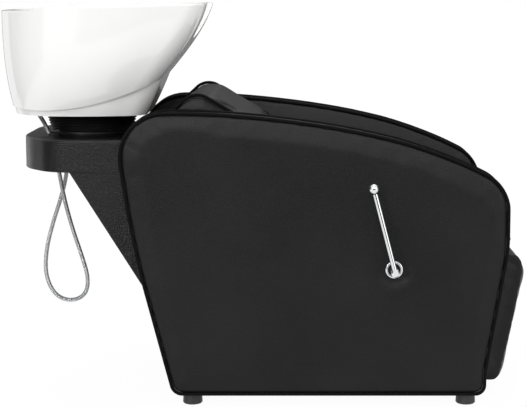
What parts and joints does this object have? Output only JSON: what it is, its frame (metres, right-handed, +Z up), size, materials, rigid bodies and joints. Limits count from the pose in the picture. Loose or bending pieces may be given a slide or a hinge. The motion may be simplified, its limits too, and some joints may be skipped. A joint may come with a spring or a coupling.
{
  "type": "salon hair washing bed",
  "caption": "Upholstered hair washing bed: padded side arms, seat and swinging legrest, with a tilting porcelain basin over a cantilevered casing.",
  "frame": {"origin": "on the floor, in the middle of the four feet", "axes": "+X from the basin towards the legrest, +Y to the sitter's left, +Z up"},
  "size_m": [1.2747, 0.6999, 0.9448],
  "materials": {
    "leatherette": "satin, vinyl-coated cloth over foam",
    "welt": "satin",
    "board": "raw plywood",
    "frame_paint": "satin powder coat",
    "zinc": "zinc plated",
    "chrome": "polished",
    "hose_chrome": "wound steel sheath",
    "casing": "speckled texture",
    "glide": "satin",
    "nylon": "satin",
    "pipe": "satin",
    "gaiter": "matte",
    "rubber_black": "matte",
    "porcelain": "glossy glaze"
  },
  "bodies": {
    "frame": {"arm_core_left": "board", "arm_core_right": "board", "arm_cover_left": "leatherette", "arm_cover_right": "leatherette", "arm_welt_left": "welt", "arm_welt_right": "welt", "back_battens": "board", "back_board": "board", "back_cushion": "leatherette", "bellows": "gaiter", "bowl_arms": "frame_paint", "bowl_column": "frame_paint", "casing_straps": "zinc", "feet": "glide", "foot_studs": "zinc", "front_cross_rail": "frame_paint", "hinge_gussets": "frame_paint", "hinge_pin": "zinc", "legrest_buffers": "rubber_black", "lever_bush": "nylon", "lever_ring": "chrome", "lever_support": "frame_paint", "rail_bolts": "zinc", "rear_casing": "casing", "rear_high_rail": "frame_paint", "rear_low_rail": "frame_paint", "seat_battens": "board", "seat_board": "board", "seat_cushion": "leatherette", "spray_hose": "hose_chrome", "tilt_pins": "zinc", "tray_cover": "casing", "waste_hose": "pipe", "waste_outlet": "pipe"},
    "legrest": {"legrest_board": "board", "legrest_pad": "leatherette", "legrest_bracket_left": "frame_paint", "legrest_bracket_right": "frame_paint", "legrest_link_pin": "zinc"},
    "lever": {"lever_shaft": "zinc", "lever_rod": "chrome", "lever_ball": "chrome", "lever_crank": "zinc"},
    "link": {"push_link": "zinc"},
    "basin": {"bowl": "porcelain", "tilt_plate": "frame_paint", "bowl_studs": "zinc", "waste_flange": "chrome", "waste_nut": "nylon", "mixer_body": "chrome", "mixer_nut": "zinc", "spray_holder": "chrome"},
    "strainer": {"strainer": "chrome"},
    "mixer_dome": {"mixer_dome": "chrome"},
    "mixer_lever": {"mixer_lever": "chrome"},
    "spray": {"spray_head": "chrome"}
  },
  "joints": [
    {"name": "legrest_swing", "type": "hinge", "parent": "frame", "child": "legrest", "pos_m": [0.351, 0, 0.249], "axis": [0, -1, 0], "range_deg": [0, 76]},
    {"name": "lever_turn", "type": "hinge", "parent": "frame", "child": "lever", "pos_m": [0.15, -0.2835, 0.329], "axis": [0, -1, 0], "range_deg": [0, 76]},
    {"name": "link_turn", "type": "hinge", "parent": "lever", "child": "link", "pos_m": [0.15, -0.203, 0.269], "axis": [0, -1, 0], "range_deg": [-76, 0]},
    {"name": "bowl_tilt", "type": "hinge", "parent": "frame", "child": "basin", "pos_m": [-0.593, 0, 0.642], "axis": [0, -1, 0], "range_deg": [-6, 10], "deforming": ["bellows", "waste_hose", "spray_hose"]},
    {"name": "strainer_lift", "type": "slide", "parent": "basin", "child": "strainer", "axis": [0, 0, 1], "range_m": [0, 0.04]},
    {"name": "mixer_swivel", "type": "hinge", "parent": "basin", "child": "mixer_dome", "pos_m": [-0.748, 0.055, 0.884], "axis": [0, 0, 1], "range_deg": [-60, 60]},
    {"name": "mixer_lift", "type": "hinge", "parent": "mixer_dome", "child": "mixer_lever", "pos_m": [-0.748, 0.055, 0.897], "axis": [0, -1, 0], "range_deg": [0, 25]},
    {"name": "spray_pull", "type": "slide", "parent": "basin", "child": "spray", "axis": [0, 0, 1], "range_m": [0, 0.09]}
  ],
  "couplings": [
    {"joint": "lever_turn", "follows": "legrest_swing", "ratio": 1},
    {"joint": "link_turn", "follows": "legrest_swing", "ratio": -1}
  ]
}
